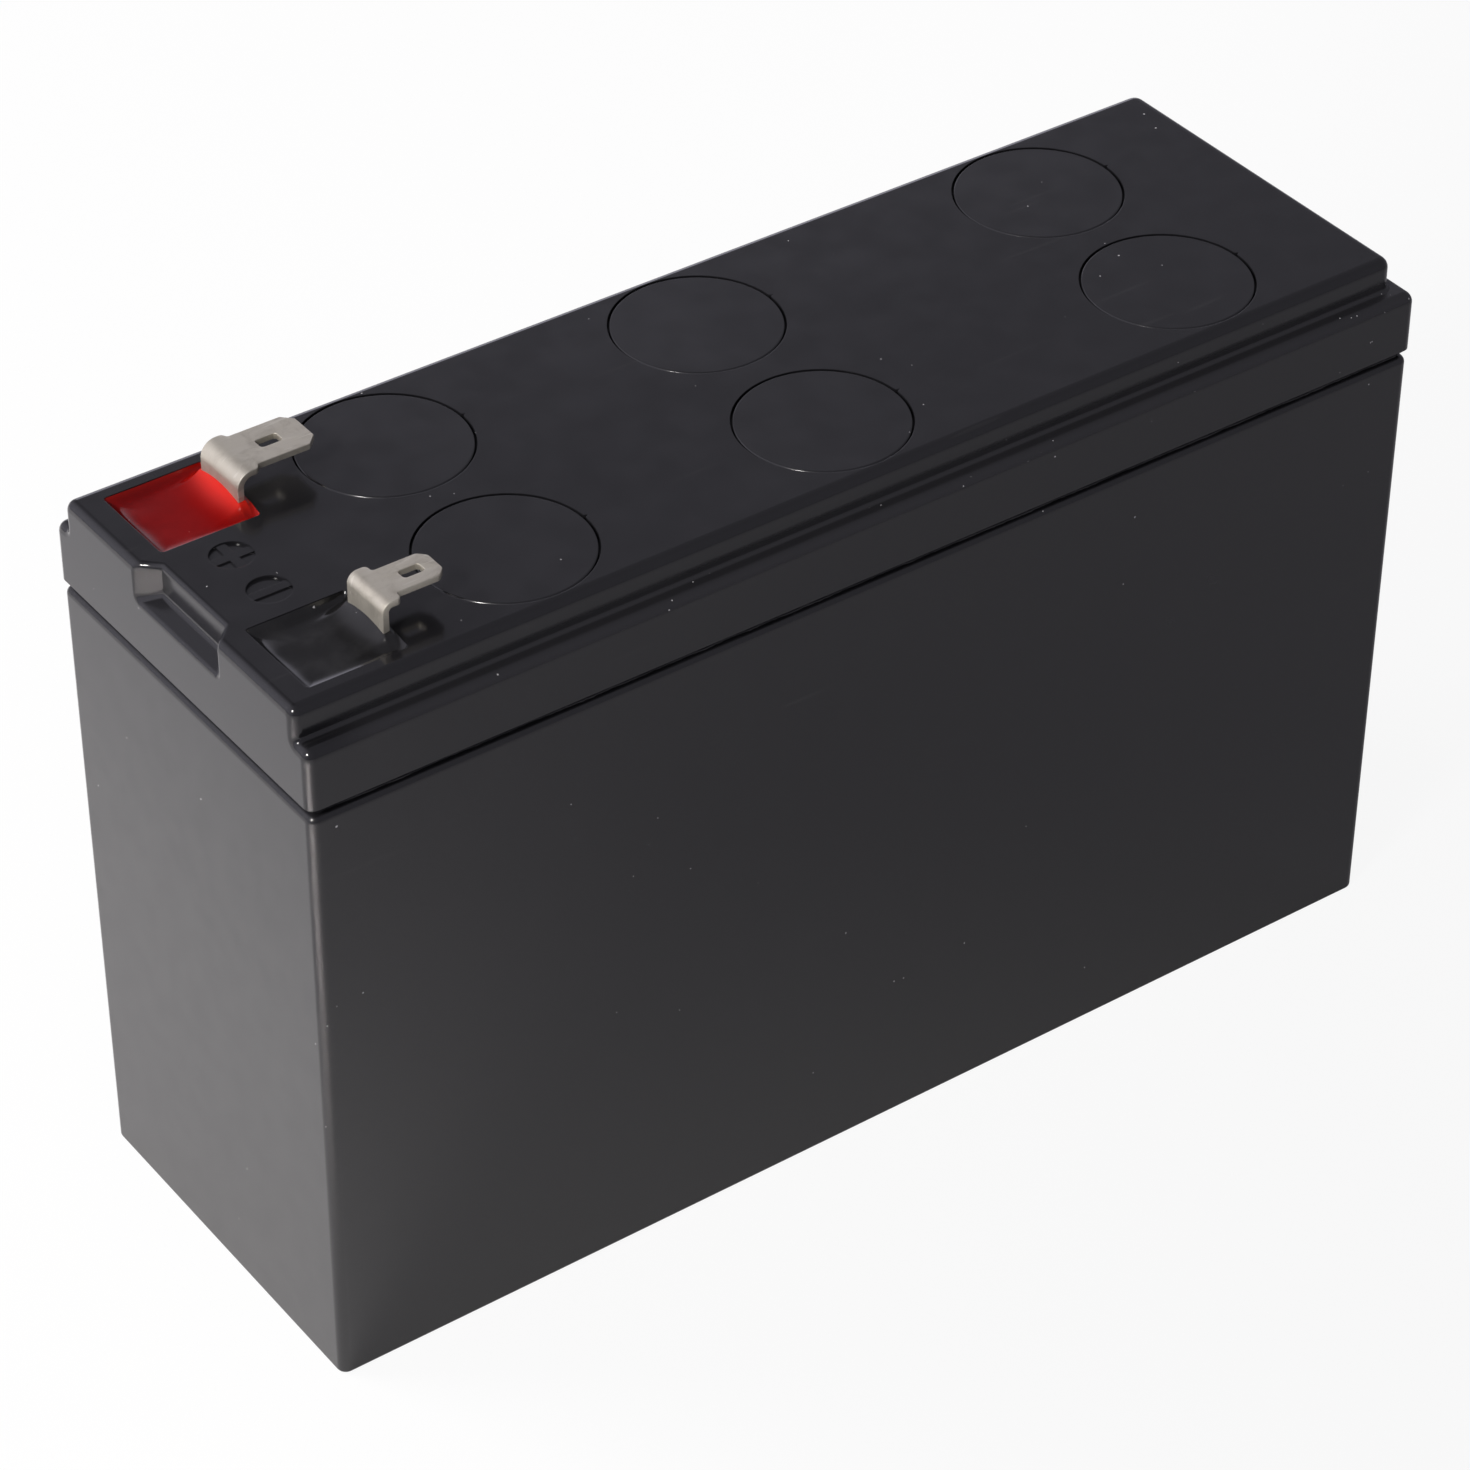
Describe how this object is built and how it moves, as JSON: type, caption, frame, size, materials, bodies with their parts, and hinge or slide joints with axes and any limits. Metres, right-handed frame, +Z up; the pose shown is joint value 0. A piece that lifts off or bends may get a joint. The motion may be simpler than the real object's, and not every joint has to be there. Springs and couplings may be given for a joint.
{
  "type": "sealed lead acid battery",
  "caption": "Black sealed battery in a tall narrow case, with a stepped cover, flush round valve lids, and push-on blade tabs standing in red and black potting.",
  "frame": {"origin": "middle of the underside, on the surface that the battery stands on", "axes": "+X along the length, away from the terminal end; +Y across, towards the positive tab; +Z up"},
  "size_m": [0.151, 0.0516, 0.0972],
  "materials": {
    "case_plastic": "semi gloss moulded",
    "red_resin": "glossy cast",
    "black_resin": "glossy cast",
    "tinned_metal": "matt tin plating",
    "rubber": "matt",
    "positive_lead": "lead grid with brown paste",
    "negative_lead": "lead grid with grey paste",
    "glass_mat": "soft glass fibre"
  },
  "bodies": {
    "root": {"container": "case_plastic", "cover": "case_plastic", "valve_lid_1": "case_plastic", "valve_lid_2": "case_plastic", "valve_lid_3": "case_plastic", "valve_lid_4": "case_plastic", "valve_lid_5": "case_plastic", "valve_lid_6": "case_plastic", "valve_cap_1": "rubber", "valve_cap_2": "rubber", "valve_cap_3": "rubber", "valve_cap_4": "rubber", "valve_cap_5": "rubber", "valve_cap_6": "rubber", "positive_plates_1": "positive_lead", "positive_plates_2": "positive_lead", "positive_plates_3": "positive_lead", "positive_plates_4": "positive_lead", "positive_plates_5": "positive_lead", "positive_plates_6": "positive_lead", "negative_plates_1": "negative_lead", "negative_plates_2": "negative_lead", "negative_plates_3": "negative_lead", "negative_plates_4": "negative_lead", "negative_plates_5": "negative_lead", "negative_plates_6": "negative_lead", "separator_1": "glass_mat", "separator_2": "glass_mat", "separator_3": "glass_mat", "separator_4": "glass_mat", "separator_5": "glass_mat", "separator_6": "glass_mat", "positive_tab": "tinned_metal", "negative_tab": "tinned_metal", "positive_seal": "rubber", "negative_seal": "rubber", "positive_resin": "red_resin", "negative_resin": "black_resin"}
  },
  "joints": []
}
